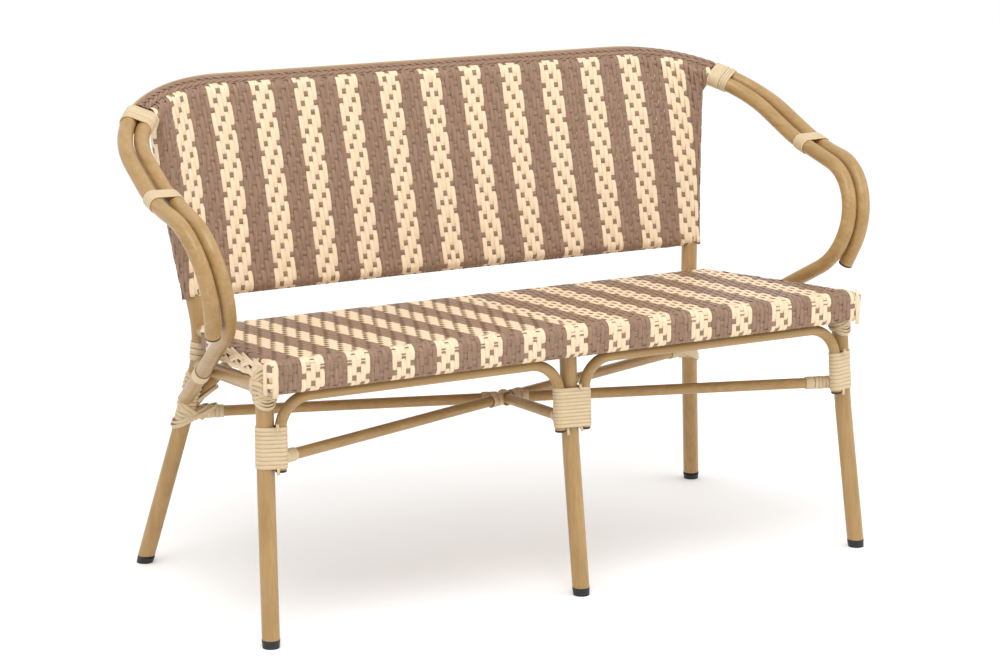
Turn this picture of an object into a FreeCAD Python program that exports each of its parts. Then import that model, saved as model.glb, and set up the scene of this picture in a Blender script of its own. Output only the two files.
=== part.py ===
"""Two-seat cafe bench: bent tube frame, cane-look woven seat and back, tied bindings.

Millimetres, +Z up. X runs along the bench and the right half mirrors the left.
Y values below are measured backwards from the front feet; at() moves them to the
middle of the depth, so that the origin lies on the floor under the bench's centre.
"""
import FreeCAD, Part
import math
import os
from FreeCAD import Vector, Rotation, Placement

os.makedirs("parts", exist_ok=True)

# Overall frame
DEPTH_SHIFT = 270.1
LEG_R = 14.0
ARM_R = 12.5
BAR_R = 10.5
SLIM_R = 9.0
WALL = 2.0
WEAVE_T = 4.0
CORD_T = 1.8

# Front legs: foot, knee and the point under the seat bar
FRONT_FOOT = (553.0, 0.0, 0.0)
FRONT_KNEE = (541.0, 34.5, 258.0)
FRONT_TOP = (536.0, 45.0, 424.0)
CENTER_FOOT_Y = -4.0
FRONT_KNEE_R = 900.0

# Rear legs run on upwards as the back posts
REAR_FOOT = (549.5, 513.5, 0.0)
REAR_BEND = (474.3, 416.5, 386.0)
POST_TOP = (519.5, 481.0, 764.0)
REAR_BEND_R = 200.0

# Foot glides
GLIDE_H = 13.0
GLIDE_R = 14.5
GLIDE_TAPER = 2.5
GLIDE_STEM_H = 22.0

# Seat: bar centres in side view, half widths, edge heights
SEAT_FRONT_Y = 10.0
SEAT_FRONT_Z = 434.5
SEAT_REAR_Y = 383.5
SEAT_REAR_Z = 412.6
SEAT_HALF_FRONT = 546.0
SEAT_TAPER = 0.125
SEAT_CORNER_R = 30.0
EDGE_T = 5.0
EDGE_H = 32.0
LOWER_BAR_DROP = 26.5
LEG_BAR_Y = 45.0
CROSS_BAR_X = 180.0
CROSS_BAR_R = 8.0

# Side rails under the seat
SIDE_RAIL_FRONT = (537.0, 45.0, 399.0)
SIDE_RAIL_REAR = (480.0, 426.0, 352.0)

# Back and arm tubes: the inner tube carries the weave, the outer runs beside it
INNER_CORNER = (584.0, 518.0, 786.5)
INNER_CORNER_R = 195.0
INNER_ARM = (595.0, 272.0, 671.5)
INNER_ARM_R = 230.0
INNER_NOSE = (599.0, -70.5, 580.5)
INNER_NOSE_R = 99.0
INNER_END = (498.5, 440.0, 293.0)
OUTER_CORNER = (610.0, 545.0, 802.0)
OUTER_CORNER_R = 240.0
OUTER_ARM = (628.0, 236.5, 658.5)
OUTER_ARM_R = 370.0
OUTER_NOSE = (624.0, 40.0, 628.5)
OUTER_NOSE_R = 107.0
OUTER_END = (593.1, 105.2, 474.0)
JOINT_ANGLE = math.radians(53.0)
SPIGOT_LENGTH = 60.0
SPIGOT_PLAY = 0.2

# Back panel
BACK_BAR_Z = 476.0
BACK_BAR_BOW = 8.6
SLEEVE_BELOW_RAIL = 12.0

# Arches under the seat
ARCH_Z = 383.0
ARCH_R = 52.0
ARCH_END_Z = 272.5
ARCH_LEG_IN = 20.2
ARCH_LEG_FRONT = 11.6
ARCH_CENTER_OUT = 23.0
ARCH_CENTER_FRONT = 9.0
REAR_ARCH_END = (490.0, 438.0, 280.0)
REAR_ARCH_CORNER = (402.0, 428.0, 372.0)
REAR_ARCH_R = 120.0
PLUG_CAP = 4.0
PLUG_STEM = 12.0
PLUG_EDGE_R = 2.4

# Stretchers
STRETCHER_FRONT_Z = 285.0
STRETCHER_REAR_Z = 268.0

# Bindings
LEG_BINDING_Z = (275.0, 339.5)
TOP_WRAP_Z = (362.0, 414.0)
TOP_WRAP_RAIL = 34.0
ARM_JOINT_BAND = 38.0
ARM_JOINT_T = 2.8
ARM_MID_BAND = 27.0
ARM_MID_Y = 240.0
STRETCHER_WRAP = 48.0
CENTER_WRAP = 30.0
CROSSING_WRAP = 40.0
REAR_WRAP_Z = (361.0, 392.0)
REAR_JOINT_Z = (256.0, 300.0)
STRAP_Y = 309.0
STRAP_W = 22.0
STRAP_T = 2.0
CROSSING_T = 2.5

# Nodes that have no twin on the left
ONE_SIDED = ("stretcher_rear_right",)

# Braid along the top of the back
BRAID_W = 27.0
BRAID_T = 8.0
BRAID_RISE = 16.0

# Larger than the bench: size of the blocks that trim pieces
SPACE = 3000.0

nodes = {}


def at(x, y, z):
    """A point given by its depth behind the front feet."""
    return Vector(x, y - DEPTH_SHIFT, z)


def mirrored(point):
    return (-point[0], point[1], point[2])


def between(start, end, share):
    return tuple(a + (b - a) * share for a, b in zip(start, end))


def level(start, end, z):
    """The point of a straight run at one height."""
    return between(start, end, (z - start[2]) / (end[2] - start[2]))


def bent_path(points, radii):
    """Straight runs joined by tangent arcs of the given radii."""
    spots = [at(*point) for point in points]
    edges = []
    last = spots[0]
    for before, corner, after, radius in zip(spots, spots[1:], spots[2:], radii):
        to_before = (before - corner).normalize()
        to_after = (after - corner).normalize()
        half = to_before.getAngle(to_after) / 2
        reach = radius / math.tan(half)
        start = corner + to_before * reach
        end = corner + to_after * reach
        inward = (to_before + to_after).normalize()
        middle = corner + inward * (radius / math.sin(half) - radius)
        edges.append(Part.LineSegment(last, start).toShape())
        edges.append(Part.Arc(start, middle, end).toShape())
        last = end
    edges.append(Part.LineSegment(last, spots[-1]).toShape())
    return Part.Wire(edges)


def sweep(path, radius, bore=0.0):
    """A round rod along a path, or a tube where a bore radius is given."""
    first = path.OrderedEdges[0]
    start = first.valueAt(first.FirstParameter)
    along = first.tangentAt(first.FirstParameter)
    rim = Part.Wire(Part.Circle(start, along, radius).toShape())
    solid = path.makePipeShell([rim], True, False)
    if bore:
        solid = solid.cut(sweep(path, bore))
    return solid


def rod(start, end, radius, bore=0.0):
    """A straight rod or tube between two points."""
    first = at(*start)
    along = at(*end) - first
    solid = Part.makeCylinder(radius, along.Length, first, along)
    if bore:
        solid = solid.cut(Part.makeCylinder(bore, along.Length, first, along))
    return solid


def side_of(point, normal):
    """A large block that fills space on the side a normal points to."""
    block = Part.makeBox(SPACE, SPACE, SPACE, Vector(-SPACE / 2, -SPACE / 2, 0))
    block.Placement = Placement(point, Rotation(Vector(0, 0, 1), normal))
    return block


def slab(low, high):
    """A block of space between two heights."""
    return Part.makeBox(SPACE, SPACE, high - low, Vector(-SPACE / 2, -SPACE / 2, low))


def mirror(shape):
    return shape.mirror(Vector(0, 0, 0), Vector(1, 0, 0))


def largest(shape):
    """The main solid of a trimmed piece, without loose offcuts."""
    return max(shape.Solids, key=lambda solid: solid.Volume)


def sleeve(start, end, radius, thickness=CORD_T):
    """Cord wound round one tube."""
    return rod(start, end, radius + thickness, radius)


def two_tube_outline(first, second, first_r, second_r, along):
    """Face that a cord round two parallel tubes encloses, across their direction."""
    across = second - first
    across = across - along * across.dot(along)
    length = across.Length
    across.normalize()
    up = along.cross(across)
    lean = math.asin((first_r - second_r) / length)
    ends = []
    for sign in (1, -1):
        tilt = across * math.sin(lean) + up * (sign * math.cos(lean))
        ends.append((first + tilt * first_r, first + across * length + tilt * second_r))
    top_first, top_second = ends[0]
    low_first, low_second = ends[1]
    rim = [
        Part.LineSegment(top_first, top_second).toShape(),
        Part.Arc(top_second, first + across * (length + second_r), low_second).toShape(),
        Part.LineSegment(low_second, low_first).toShape(),
        Part.Arc(low_first, first - across * first_r, top_first).toShape(),
    ]
    return Part.Face(Part.Wire(rim))


def round_tubes(main, others, main_r, other_r, along, length):
    """Solid stretched over a tube and the tubes beside it, centred on their points."""
    block = None
    for other in others:
        part = two_tube_outline(main, other, main_r, other_r, along).extrude(along * length)
        block = part if block is None else block.fuse(part)
    block.translate(along * (-length / 2))
    return block


def band(main, others, main_r, other_r, along, length):
    """Cord wound round a tube and the tubes that lie beside it: a hollow band."""
    along = Vector(along).normalize()
    outer = round_tubes(main, others, main_r + CORD_T, other_r + CORD_T, along, length)
    return outer.cut(round_tubes(main, others, main_r, other_r, along, length))


# Legs
front_leg_path = bent_path([FRONT_FOOT, FRONT_KNEE, FRONT_TOP], [FRONT_KNEE_R])
center_points = [
    (0.0, CENTER_FOOT_Y, 0.0),
    (0.0, FRONT_KNEE[1], FRONT_KNEE[2]),
    (0.0, FRONT_TOP[1], FRONT_TOP[2]),
]
center_leg_path = bent_path(center_points, [FRONT_KNEE_R])
rear_leg_path = bent_path([REAR_FOOT, REAR_BEND, POST_TOP], [REAR_BEND_R])
leg_paths = {"front_leg": front_leg_path, "center_leg": center_leg_path, "rear_leg": rear_leg_path}
leg_rods = {name: sweep(path, LEG_R) for name, path in leg_paths.items()}
above_glides = slab(GLIDE_H, SPACE)
leg_tubes = {}
for name, path in leg_paths.items():
    leg_tubes[name] = sweep(path, LEG_R, LEG_R - WALL).common(above_glides)

# Seat bars, in the plane of the woven seat
seat_slope = (SEAT_REAR_Z - SEAT_FRONT_Z) / (SEAT_REAR_Y - SEAT_FRONT_Y)


def seat_bar_z(y):
    return SEAT_FRONT_Z + seat_slope * (y - SEAT_FRONT_Y)


def seat_half(y):
    """Half the seat's outer width, over the side braids."""
    return SEAT_HALF_FRONT - SEAT_TAPER * y


def side_bar_point(y):
    return (seat_half(y) - EDGE_T - BAR_R, y, seat_bar_z(y))


side_bar_rod = rod(side_bar_point(SEAT_FRONT_Y), side_bar_point(REAR_BEND[1]), BAR_R)
side_bar = rod(side_bar_point(SEAT_FRONT_Y), side_bar_point(REAR_BEND[1]), BAR_R, BAR_R - WALL)
nodes["seat_bar_right"] = side_bar.cut(leg_rods["rear_leg"])
side_bar_rods = [side_bar_rod, mirror(side_bar_rod)]


def seat_cross_tube(y, z, radius=BAR_R):
    """A tube across the seat, cut to fit between the side bars."""
    reach = side_bar_point(y)[0]
    tube = rod((-reach, y, z), (reach, y, z), radius, radius - WALL)
    return tube.cut(side_bar_rods[0]).cut(side_bar_rods[1])


nodes["seat_bar_front_upper"] = seat_cross_tube(SEAT_FRONT_Y, SEAT_FRONT_Z)
nodes["seat_bar_front_lower"] = seat_cross_tube(SEAT_FRONT_Y, SEAT_FRONT_Z - LOWER_BAR_DROP)
nodes["seat_bar_over_legs"] = seat_cross_tube(LEG_BAR_Y, seat_bar_z(LEG_BAR_Y))
nodes["seat_bar_rear"] = seat_cross_tube(SEAT_REAR_Y, SEAT_REAR_Z)
leg_bar_rod = rod(
    (-SEAT_HALF_FRONT, LEG_BAR_Y, seat_bar_z(LEG_BAR_Y)),
    (SEAT_HALF_FRONT, LEG_BAR_Y, seat_bar_z(LEG_BAR_Y)),
    BAR_R,
)
cross_bars = []
for x in (-CROSS_BAR_X, CROSS_BAR_X):
    front = (x, LEG_BAR_Y + BAR_R, seat_bar_z(LEG_BAR_Y + BAR_R))
    rear = (x, SEAT_REAR_Y - BAR_R, seat_bar_z(SEAT_REAR_Y - BAR_R))
    cross_bars.append(rod(front, rear, CROSS_BAR_R, CROSS_BAR_R - WALL))
nodes["seat_support_bars"] = Part.makeCompound(cross_bars)

# Side rails between front and rear legs
side_rail_rod = rod(SIDE_RAIL_FRONT, SIDE_RAIL_REAR, ARM_R)
side_rail = rod(SIDE_RAIL_FRONT, SIDE_RAIL_REAR, ARM_R, ARM_R - WALL)
nodes["side_rail_right"] = largest(side_rail.cut(leg_rods["front_leg"]).cut(leg_rods["rear_leg"]))

# Inner back rail and arms; the joint with each arm is under the binding
inner_half = [(0.0,) + INNER_CORNER[1:], INNER_CORNER, INNER_ARM, INNER_NOSE, INNER_END]
inner_path = bent_path(inner_half, [INNER_CORNER_R, INNER_ARM_R, INNER_NOSE_R])
outer_half = [(0.0,) + OUTER_CORNER[1:], OUTER_CORNER, OUTER_ARM, OUTER_NOSE, OUTER_END]
outer_path = bent_path(outer_half, [OUTER_CORNER_R, OUTER_ARM_R, OUTER_NOSE_R])


def corner_frame(corner, arm, radius):
    """Where a back corner's arc starts, and the direction in its plane that it turns to."""
    along = Vector(1, 0, 0)
    run = (at(*arm) - at(*corner)).normalize()
    half = (along * -1).getAngle(run) / 2
    inward = (run - along * run.dot(along)).normalize()
    return at(*corner) - along * (radius / math.tan(half)), inward


def corner_spot(corner, arm, radius, angle):
    """Point and direction on a back corner's arc, by the angle turned from the back."""
    start, inward = corner_frame(corner, arm, radius)
    spot = start + Vector(radius * math.sin(angle), 0, 0) + inward * (radius * (1 - math.cos(angle)))
    heading = Vector(math.cos(angle), 0, 0) + inward * math.sin(angle)
    return spot, heading


inner_joint, joint_heading = corner_spot(INNER_CORNER, INNER_ARM, INNER_CORNER_R, JOINT_ANGLE)
outer_joint, outer_heading = corner_spot(OUTER_CORNER, OUTER_ARM, OUTER_CORNER_R, JOINT_ANGLE)
arm_side = side_of(inner_joint, joint_heading)
back_side = side_of(inner_joint, joint_heading * -1)
outer_arm_side = side_of(outer_joint, outer_heading)
outer_back_side = side_of(outer_joint, outer_heading * -1)

inner_rod = sweep(inner_path, ARM_R)
inner_tube = sweep(inner_path, ARM_R, ARM_R - WALL)
outer_rod = sweep(outer_path, ARM_R)
outer_tube = sweep(outer_path, ARM_R, ARM_R - WALL)
nodes["arm_inner_right"] = inner_tube.common(arm_side).cut(leg_rods["rear_leg"])
nodes["arm_outer_right"] = outer_tube.common(outer_arm_side)


def whole_rail(half_tube, keep):
    """Both halves of a back rail, joined at the middle of the bench."""
    half = half_tube.common(keep)
    return half.fuse(mirror(half)).removeSplitter()


nodes["back_rail_inner"] = whole_rail(inner_tube, back_side)
nodes["back_rail_outer"] = whole_rail(outer_tube, outer_back_side)
inner_rail_rod = whole_rail(inner_rod, back_side)
outer_rail_rod = whole_rail(outer_rod, outer_back_side)


def spigot(path, corner, arm, radius):
    """Bent pin inside the joint of a rail and an arm, half of it in each."""
    reach = SPIGOT_LENGTH / 2 / radius
    pin = sweep(path, ARM_R - WALL - SPIGOT_PLAY)
    for sign in (-1, 1):
        spot, heading = corner_spot(corner, arm, radius, JOINT_ANGLE + sign * reach)
        pin = pin.common(side_of(spot, heading * -sign))
    return pin


right_spigots = [
    spigot(inner_path, INNER_CORNER, INNER_ARM, INNER_CORNER_R),
    spigot(outer_path, OUTER_CORNER, OUTER_ARM, OUTER_CORNER_R),
]
nodes["rail_spigots"] = Part.makeCompound(right_spigots + [mirror(pin) for pin in right_spigots])

outer_last = outer_path.OrderedEdges[-1]
plug_along = outer_last.tangentAt(outer_last.LastParameter)
plug_spot = outer_last.valueAt(outer_last.LastParameter)


def plug(spot, along, radius):
    """Black end plug: a cap over the tube's rim and a stem inside it."""
    cap = Part.makeCylinder(radius, PLUG_CAP, spot, along)
    cap = cap.makeFillet(PLUG_EDGE_R, [cap.Edges[0]])
    stem = Part.makeCylinder(radius - WALL, PLUG_STEM, spot, along * -1)
    return cap.fuse(stem).removeSplitter()


arm_plug = plug(plug_spot, plug_along, ARM_R)
nodes["arm_plugs"] = Part.makeCompound([arm_plug, mirror(arm_plug)])

# Legs and posts, fitted under the bars and against the inner rail
front_leg = leg_tubes["front_leg"].cut(side_bar_rod).cut(leg_bar_rod)
nodes["front_leg_right"] = largest(front_leg)
nodes["front_leg_center"] = largest(leg_tubes["center_leg"].cut(leg_bar_rod))
nodes["rear_leg_right"] = largest(leg_tubes["rear_leg"].cut(inner_rail_rod))


# Foot glides
def foot_glide(path):
    """Tapered cap under a leg, flat on the floor, with a stem inside the tube."""
    first = path.OrderedEdges[0]
    foot = first.valueAt(first.FirstParameter)
    along = first.tangentAt(first.FirstParameter)
    reach = GLIDE_H / along.z
    low = foot - along * reach
    cap = Part.makeCone(GLIDE_R - GLIDE_TAPER, GLIDE_R, 2 * reach, low, along)
    stem = Part.makeCylinder(LEG_R - WALL, reach + GLIDE_STEM_H, foot, along)
    cap = cap.common(slab(0, GLIDE_H))
    return cap.fuse(stem.common(slab(GLIDE_H / 2, SPACE))).removeSplitter()


right_glides = [foot_glide(front_leg_path), foot_glide(rear_leg_path)]
all_glides = right_glides + [foot_glide(center_leg_path)] + [mirror(g) for g in right_glides]
nodes["foot_glides"] = Part.makeCompound(all_glides)

# Front arches: each end lies against a leg inside its binding
leg_end = level(FRONT_KNEE, FRONT_TOP, ARCH_END_Z)
leg_high = level(FRONT_KNEE, FRONT_TOP, ARCH_Z)
arch_points = [
    (leg_end[0] - ARCH_LEG_IN, leg_end[1] - ARCH_LEG_FRONT, ARCH_END_Z),
    (leg_high[0] - ARCH_LEG_IN, leg_high[1] - ARCH_LEG_FRONT, ARCH_Z),
    (ARCH_CENTER_OUT, leg_high[1] - ARCH_CENTER_FRONT, ARCH_Z),
    (ARCH_CENTER_OUT, leg_end[1] - ARCH_CENTER_FRONT, ARCH_END_Z),
]
arch_path = bent_path(arch_points, [ARCH_R, ARCH_R])
arch_rod = sweep(arch_path, SLIM_R)
nodes["front_arch_right"] = sweep(arch_path, SLIM_R, SLIM_R - WALL)
arch_plugs = []
for near, far in ((arch_points[0], arch_points[1]), (arch_points[3], arch_points[2])):
    spot = at(*near)
    end_plug = plug(spot, (spot - at(*far)).normalize(), SLIM_R)
    arch_plugs += [end_plug, mirror(end_plug)]
nodes["arch_plugs"] = Part.makeCompound(arch_plugs)

# Rear arch between the rear legs
rear_points = [REAR_ARCH_END, REAR_ARCH_CORNER, mirrored(REAR_ARCH_CORNER), mirrored(REAR_ARCH_END)]
rear_path = bent_path(rear_points, [REAR_ARCH_R, REAR_ARCH_R])
rear_arch_rod = sweep(rear_path, SLIM_R)
rear_arch = sweep(rear_path, SLIM_R, SLIM_R - WALL)

# Crossed stretchers: one runs through, the others are cut to meet it
front_joint = level(FRONT_KNEE, FRONT_TOP, STRETCHER_FRONT_Z)
rear_joint = level(REAR_FOOT, REAR_BEND, STRETCHER_REAR_Z)
crossing = between(front_joint, mirrored(rear_joint), front_joint[0] / (front_joint[0] + rear_joint[0]))
center_joint = (0.0,) + level(FRONT_KNEE, FRONT_TOP, STRETCHER_FRONT_Z)[1:]
through_rod = rod(front_joint, mirrored(rear_joint), SLIM_R)
front_half_rod = rod(mirrored(front_joint), crossing, SLIM_R)
rear_half_rod = rod(crossing, rear_joint, SLIM_R)
left_front_leg = mirror(leg_rods["front_leg"])
left_rear_leg = mirror(leg_rods["rear_leg"])
through = rod(front_joint, mirrored(rear_joint), SLIM_R, SLIM_R - WALL)
nodes["stretcher_through"] = through.cut(leg_rods["front_leg"]).cut(left_rear_leg)
front_half = rod(mirrored(front_joint), crossing, SLIM_R, SLIM_R - WALL)
nodes["stretcher_front_left"] = front_half.cut(left_front_leg).cut(through_rod)
rear_half = rod(crossing, rear_joint, SLIM_R, SLIM_R - WALL)
nodes["stretcher_rear_right"] = rear_half.cut(leg_rods["rear_leg"]).cut(through_rod)
center_stretcher = rod(center_joint, crossing, SLIM_R, SLIM_R - WALL)
center_stretcher = center_stretcher.cut(leg_rods["center_leg"]).cut(through_rod)
nodes["stretcher_center"] = center_stretcher.cut(front_half_rod)
stretcher_rods = [through_rod, front_half_rod, rear_half_rod, rod(center_joint, crossing, SLIM_R)]
for tube in (leg_rods["rear_leg"], left_rear_leg, inner_rod, mirror(inner_rod), rear_half_rod, through_rod):
    rear_arch = rear_arch.cut(tube)
nodes["rear_arch"] = largest(rear_arch)

# Lower bar of the back, bowed between the posts
bar_end = level(REAR_BEND, POST_TOP, BACK_BAR_Z)
bar_ends = [at(*bar_end), at(*mirrored(bar_end))]
bar_middle = at(0.0, bar_end[1] + BACK_BAR_BOW, BACK_BAR_Z)
back_bar_path = Part.Wire(Part.Arc(bar_ends[0], bar_middle, bar_ends[1]).toShape())
back_bar_rod = sweep(back_bar_path, BAR_R)
back_bar = sweep(back_bar_path, BAR_R, BAR_R - WALL)
nodes["back_bar_lower"] = back_bar.cut(leg_rods["rear_leg"]).cut(left_rear_leg)

# Woven seat: rolls round the rear bar, over the top and down round both front bars
roll_r = BAR_R + WEAVE_T
upper = at(0, SEAT_FRONT_Y, SEAT_FRONT_Z)
lower = at(0, SEAT_FRONT_Y, SEAT_FRONT_Z - LOWER_BAR_DROP)
rear = at(0, SEAT_REAR_Y, SEAT_REAR_Z)
seat_up = Vector(0, -seat_slope, 1).normalize()


def seat_side_outline(radius):
    """Edges of the sheet's side view at a distance from the bar centres, rear to front."""
    back = Vector(0, 1, 0)
    front_up = (seat_up - back).normalize()
    rear_up = (seat_up + back).normalize()
    low_front = (Vector(0, 0, -1) - back).normalize()
    return [
        Part.Arc(rear - seat_up * radius, rear + back * radius, rear + seat_up * radius).toShape(),
        Part.LineSegment(rear + seat_up * radius, upper + seat_up * radius).toShape(),
        Part.Arc(upper + seat_up * radius, upper + front_up * radius, upper - back * radius).toShape(),
        Part.LineSegment(upper - back * radius, lower - back * radius).toShape(),
        Part.Arc(lower - back * radius, lower + low_front * radius, lower + Vector(0, 0, -radius)).toShape(),
    ]


outline = seat_side_outline(roll_r)
lining = seat_side_outline(BAR_R)
rear_lip = Part.LineSegment(rear - seat_up * BAR_R, rear - seat_up * roll_r).toShape()
front_lip = Part.LineSegment(lower + Vector(0, 0, -roll_r), lower + Vector(0, 0, -BAR_R)).toShape()
seat_section = Part.Face(Part.Wire(Part.__sortEdges__(outline + lining + [rear_lip, front_lip])))
seat_sheet = seat_section.extrude(Vector(2 * SEAT_HALF_FRONT, 0, 0))
seat_sheet.translate(Vector(-SEAT_HALF_FRONT, 0, 0))


def seat_plan(inset):
    """The seat's plan shape as a tall block, with rounded rear corners and inset sides."""
    front = SEAT_FRONT_Y - 2 * roll_r
    back = SEAT_REAR_Y + roll_r + WEAVE_T / 4
    corners = [
        at(-seat_half(front) + inset, front, 0),
        at(seat_half(front) - inset, front, 0),
        at(seat_half(back) - inset, back, 0),
        at(-seat_half(back) + inset, back, 0),
    ]
    block = Part.Face(Part.makePolygon(corners + corners[:1])).extrude(Vector(0, 0, SPACE))
    rear_edges = []
    for edge in block.Edges:
        is_upright = abs(edge.Vertexes[0].Z - edge.Vertexes[-1].Z) > SPACE / 2
        if is_upright and edge.CenterOfMass.y > corners[0].y + roll_r:
            rear_edges.append(edge)
    return block.makeFillet(SEAT_CORNER_R - inset, rear_edges)


seat_sheet = seat_sheet.common(seat_plan(EDGE_T))
for bar in side_bar_rods:
    seat_sheet = seat_sheet.cut(bar)
nodes["seat_weave"] = seat_sheet

# Braided side edges of the seat
edge_front = SEAT_FRONT_Y - roll_r
edge_rear = SEAT_REAR_Y + roll_r
edge_block = seat_plan(0).cut(seat_plan(EDGE_T))
edge_top = WEAVE_T + BAR_R
edge_corners = [
    at(0, edge_front, seat_bar_z(edge_front) + edge_top),
    at(0, edge_rear, seat_bar_z(edge_rear) + edge_top),
    at(0, edge_rear, seat_bar_z(edge_rear) + edge_top - EDGE_H),
    at(0, edge_front, seat_bar_z(edge_front) + edge_top - EDGE_H),
]
edge_strip = Part.Face(Part.makePolygon(edge_corners + edge_corners[:1]))
edge_strip = edge_strip.extrude(Vector(SPACE, 0, 0))
edge_braid = edge_strip.common(edge_block).cut(leg_rods["front_leg"]).cut(leg_rods["rear_leg"])
nodes["seat_braid_right"] = largest(edge_braid.cut(side_bar_rod))

# Woven back: a curved sheet with its edges wound round the rail, the posts and the lower bar
rail_bend, rail_inward = corner_frame(INNER_CORNER, INNER_ARM, INNER_CORNER_R)
post_angle = math.asin((POST_TOP[0] - rail_bend.x) / INNER_CORNER_R)
rail_middle = at(0, *INNER_CORNER[1:])
panel_down = (bar_middle - rail_middle).normalize()
panel_out = panel_down.cross(Vector(1, 0, 0))
rail_reach = 1 / rail_inward.dot(panel_out)
rail_rise = panel_down * (-(ARM_R + WEAVE_T) * rail_reach * rail_inward.dot(panel_down))
bar_reach = -1 / panel_out.y


def rail_line(offset):
    """Right half of the inner rail's line to the post, moved out square to the panel."""
    plane_normal = Vector(1, 0, 0).cross(rail_inward)
    spots = [rail_middle + rail_inward * (offset * rail_reach) + rail_rise]
    for angle in (0.0, post_angle / 2, post_angle):
        spot, heading = corner_spot(INNER_CORNER, INNER_ARM, INNER_CORNER_R, angle)
        inward = plane_normal.cross(heading).normalize()
        spots.append(spot + inward * (offset * rail_reach) + rail_rise)
    return spots


def bar_line(offset):
    """Right half of the lower bar's line to the post, moved out square to the panel."""
    arc = Part.Arc(bar_ends[1], bar_middle, bar_ends[0])
    bend = rail_bend.x / bar_end[0]
    spots = []
    for share in (0.0, bend, (bend + 1) / 2, 1.0):
        along = arc.FirstParameter + (arc.LastParameter - arc.FirstParameter) * (1 + share) / 2
        spots.append(arc.value(along) - Vector(0, offset * bar_reach, 0))
    return spots


def flipped(point):
    return Vector(-point.x, point.y, point.z)


def bowed_edge(start, crown, end):
    """An arc through a crown, or a straight edge where the crown lies in line."""
    if crown.distanceToLine(start, end - start) < Part.Precision.confusion():
        return Part.LineSegment(start, end).toShape()
    return Part.Arc(start, crown, end).toShape()


def sheet_rim(near, far):
    """Closed outline of a thin strip from the right halves of its near and far lines."""
    edges = []
    for crown, bend, mean, end in (near, far):
        edges.append(bowed_edge(end, mean, bend))
        edges.append(bowed_edge(bend, crown, flipped(bend)))
        edges.append(bowed_edge(flipped(bend), flipped(mean), flipped(end)))
    edges.append(Part.LineSegment(near[-1], far[-1]).toShape())
    edges.append(Part.LineSegment(flipped(near[-1]), flipped(far[-1])).toShape())
    return Part.Wire(Part.__sortEdges__(edges))


bottom_rim = sheet_rim(bar_line(BAR_R + WEAVE_T), bar_line(BAR_R))
top_rim = sheet_rim(rail_line(ARM_R + WEAVE_T), rail_line(ARM_R))
back_sheet = Part.makeLoft([bottom_rim, top_rim], True, True)
post_sleeve_low = level(REAR_BEND, POST_TOP, BACK_BAR_Z - BAR_R - WEAVE_T)
post_sleeve_high = level(REAR_BEND, POST_TOP, POST_TOP[2] - SLEEVE_BELOW_RAIL)
post_sleeve = rod(post_sleeve_low, post_sleeve_high, LEG_R + WEAVE_T)
rail_end_spot, rail_end_heading = corner_spot(INNER_CORNER, INNER_ARM, INNER_CORNER_R, post_angle)
before_post = side_of(rail_end_spot, rail_end_heading * -1)
rail_sleeve = whole_rail(sweep(inner_path, ARM_R + WEAVE_T), before_post)
bar_sleeve = sweep(back_bar_path, BAR_R + WEAVE_T)
back_weave = back_sheet.fuse([post_sleeve, mirror(post_sleeve), rail_sleeve, bar_sleeve])
for tube in (leg_rods["rear_leg"], left_rear_leg, inner_rail_rod, back_bar_rod, outer_rail_rod):
    back_weave = back_weave.cut(tube)
nodes["back_weave"] = largest(back_weave)

# Herringbone braid in the groove between the two top tubes
braid_corner = between(INNER_CORNER, OUTER_CORNER, 0.5)
braid_corner_r = (INNER_CORNER_R + OUTER_CORNER_R) / 2
braid_arm = between(INNER_ARM, OUTER_ARM, 0.5)
braid_points = [(0.0,) + braid_corner[1:], braid_corner, braid_arm]
braid_path = bent_path(braid_points, [braid_corner_r])
tube_gap = at(0, *OUTER_CORNER[1:]) - at(0, *INNER_CORNER[1:])
braid_up = Vector(1, 0, 0).cross(tube_gap).normalize()
braid_middle = at(*braid_points[0]) + braid_up * BRAID_RISE
braid_across = Vector(tube_gap).normalize() * (BRAID_W / 2)
braid_lift = braid_up * (BRAID_T / 2)
braid_rim = [
    Part.LineSegment(braid_middle - braid_across - braid_lift, braid_middle + braid_across - braid_lift),
    Part.Arc(
        braid_middle + braid_across - braid_lift,
        braid_middle + braid_lift,
        braid_middle - braid_across - braid_lift,
    ),
]
braid_section = Part.Wire([edge.toShape() for edge in braid_rim])
half_braid = braid_path.makePipeShell([braid_section], True, False)
band_angle = ARM_JOINT_BAND / 2 / INNER_CORNER_R
band_edge, band_heading = corner_spot(INNER_CORNER, INNER_ARM, INNER_CORNER_R, JOINT_ANGLE - band_angle)
braid = whole_rail(half_braid, side_of(band_edge, band_heading * -1))
for tube in (inner_rail_rod, outer_rail_rod, rail_sleeve):
    braid = braid.cut(tube)
nodes["top_braid"] = braid

# Cord bindings round each front leg and its arch ends
leg_along = at(*FRONT_TOP) - at(*FRONT_KNEE)
binding_mid = sum(LEG_BINDING_Z) / 2
binding_length = LEG_BINDING_Z[1] - LEG_BINDING_Z[0]
leg_mid = level(FRONT_KNEE, FRONT_TOP, binding_mid)
arch_mid = (leg_mid[0] - ARCH_LEG_IN, leg_mid[1] - ARCH_LEG_FRONT, binding_mid)
side_binding = band(at(*leg_mid), [at(*arch_mid)], LEG_R, SLIM_R, leg_along, binding_length)
center_along = at(0, *FRONT_TOP[1:]) - at(0, *FRONT_KNEE[1:])
center_mid = at(0, *leg_mid[1:])
arch_spots = [center_mid + Vector(x, -ARCH_CENTER_FRONT, 0) for x in (ARCH_CENTER_OUT, -ARCH_CENTER_OUT)]
center_binding = band(center_mid, arch_spots, LEG_R, SLIM_R, center_along, binding_length)
fitted_rods = [leg_rods["front_leg"], leg_rods["center_leg"], arch_rod, mirror(arch_rod)]
fitted_rods += stretcher_rods


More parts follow.
